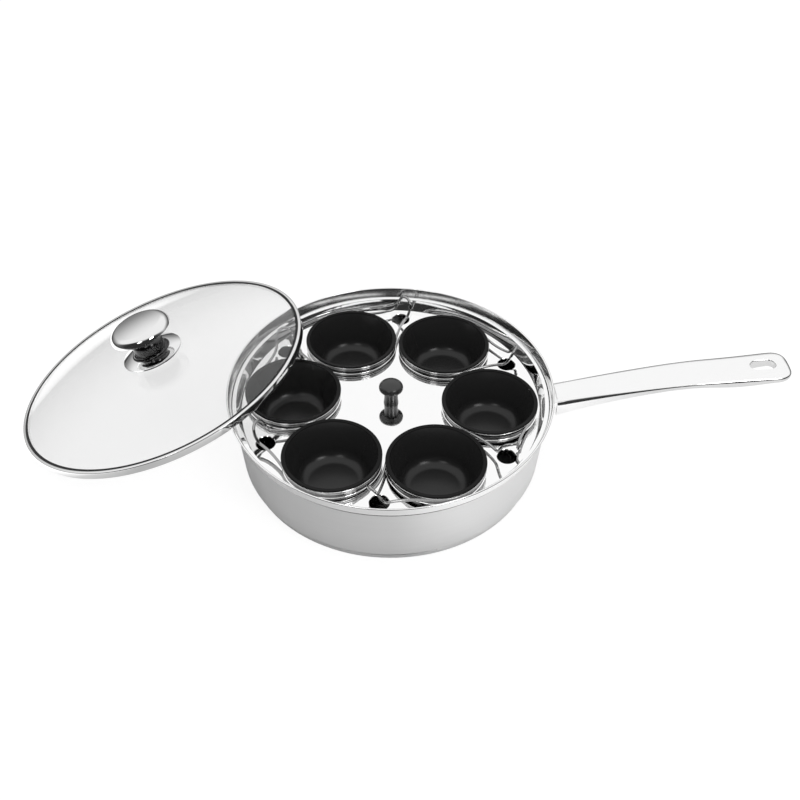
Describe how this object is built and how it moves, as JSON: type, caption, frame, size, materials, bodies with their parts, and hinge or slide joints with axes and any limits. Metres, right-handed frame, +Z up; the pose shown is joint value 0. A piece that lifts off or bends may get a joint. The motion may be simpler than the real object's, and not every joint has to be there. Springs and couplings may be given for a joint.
{
  "type": "egg poacher pan",
  "caption": "Shallow steel pan with a long hang-slot handle, a mirror-finish insert tray, black coated poaching cups in looped wire carriers, and a domed glass lid leaning on the rim.",
  "frame": {"origin": "centre of the base's underside, on the table", "axes": "+Z up; +X from the pan's middle along the handle; the lid leans on the rim's -X side"},
  "size_m": [0.6708, 0.33, 0.0993],
  "materials": {
    "pan_steel": "satin outside, bright at the rim",
    "heat_disc": "plain",
    "base_steel": "satin",
    "bracket_steel": "bright",
    "handle_steel": "polished",
    "tray_steel": "mirror polished",
    "tray_knob_black": "moulded, semi-matte",
    "screw_steel": "plain",
    "cup_coating": "black non-stick coating, satin",
    "wire_steel": "bright drawn wire",
    "lid_glass": "clear, smooth",
    "lid_rim_steel": "polished",
    "lid_knob_steel": "mirror polished",
    "lid_knob_neck": "polished",
    "seal_rubber": "matte"
  },
  "bodies": {
    "pan": {"pan_body": "pan_steel", "base_core": "heat_disc", "base_cap": "base_steel", "handle_bracket": "bracket_steel", "handle_upper": "handle_steel", "handle_lower": "handle_steel"},
    "tray": {"insert_tray": "tray_steel", "tray_knob": "tray_knob_black", "tray_knob_screw": "screw_steel", "tray_knob_washer": "screw_steel"},
    "poaching_cup_1": {"cup_1": "cup_coating", "cup_carrier_1": "wire_steel"},
    "poaching_cup_2": {"cup_2": "cup_coating", "cup_carrier_2": "wire_steel"},
    "poaching_cup_3": {"cup_3": "cup_coating", "cup_carrier_3": "wire_steel"},
    "poaching_cup_4": {"cup_4": "cup_coating", "cup_carrier_4": "wire_steel"},
    "poaching_cup_5": {"cup_5": "cup_coating", "cup_carrier_5": "wire_steel"},
    "poaching_cup_6": {"cup_6": "cup_coating", "cup_carrier_6": "wire_steel"},
    "lid": {"lid_glass": "lid_glass", "lid_rim": "lid_rim_steel", "lid_knob_plate": "lid_knob_steel", "lid_knob_neck": "lid_knob_neck", "lid_knob_cap": "lid_knob_steel", "lid_knob_screw": "screw_steel", "lid_knob_washer": "seal_rubber"}
  },
  "joints": [
    {"name": "tray_lift", "type": "slide", "parent": "pan", "child": "tray", "axis": [0, 0, 1], "range_m": [0, 0.08]},
    {"name": "cup_1_lift", "type": "slide", "parent": "tray", "child": "poaching_cup_1", "axis": [0, 0, 1], "range_m": [0, 0.06]},
    {"name": "cup_2_lift", "type": "slide", "parent": "tray", "child": "poaching_cup_2", "axis": [0, 0, 1], "range_m": [0, 0.06]},
    {"name": "cup_3_lift", "type": "slide", "parent": "tray", "child": "poaching_cup_3", "axis": [0, 0, 1], "range_m": [0, 0.06]},
    {"name": "cup_4_lift", "type": "slide", "parent": "tray", "child": "poaching_cup_4", "axis": [0, 0, 1], "range_m": [0, 0.06]},
    {"name": "cup_5_lift", "type": "slide", "parent": "tray", "child": "poaching_cup_5", "axis": [0, 0, 1], "range_m": [0, 0.06]},
    {"name": "cup_6_lift", "type": "slide", "parent": "tray", "child": "poaching_cup_6", "axis": [0, 0, 1], "range_m": [0, 0.06]},
    {"name": "lid_lift", "type": "slide", "parent": "poaching_cup_4", "child": "lid", "axis": [-0.2926, 0.0845, 0.9525], "range_m": [0, 0.12]}
  ]
}
